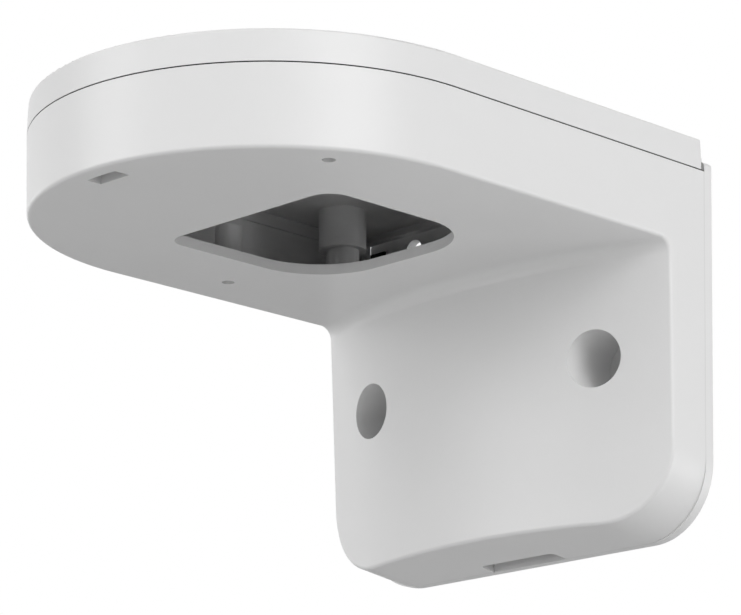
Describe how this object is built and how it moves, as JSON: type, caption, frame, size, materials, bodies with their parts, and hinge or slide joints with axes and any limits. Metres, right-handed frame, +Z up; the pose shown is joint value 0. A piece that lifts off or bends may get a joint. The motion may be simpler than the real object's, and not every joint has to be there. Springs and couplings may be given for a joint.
{
  "type": "camera wall bracket",
  "caption": "Wall bracket for a small dome camera: flat hollow arm with a round end and cable opening below, cap on top, leg at the wall with deep screw bores.",
  "frame": {"origin": "midway between the two upper wall screw holes, on the face that meets the wall", "axes": "+Y into the wall, +Z up, +X across, the arm reaches towards -Y"},
  "size_m": [0.122, 0.1545, 0.1009],
  "materials": {
    "white_plastic": "fine matte, moulded",
    "dark_rubber": "matte",
    "screw_steel": "zinc plated"
  },
  "bodies": {
    "root": {"housing": "white_plastic", "top_cover": "white_plastic", "cover_seal": "dark_rubber", "back_plate": "white_plastic", "cover_screw_rear_left": "screw_steel", "cover_screw_rear_right": "screw_steel", "cover_screw_front_left": "screw_steel", "cover_screw_front_right": "screw_steel", "plate_screw_upper_left": "screw_steel", "plate_screw_upper_right": "screw_steel", "plate_screw_lower_left": "screw_steel", "plate_screw_lower_right": "screw_steel"}
  },
  "joints": []
}
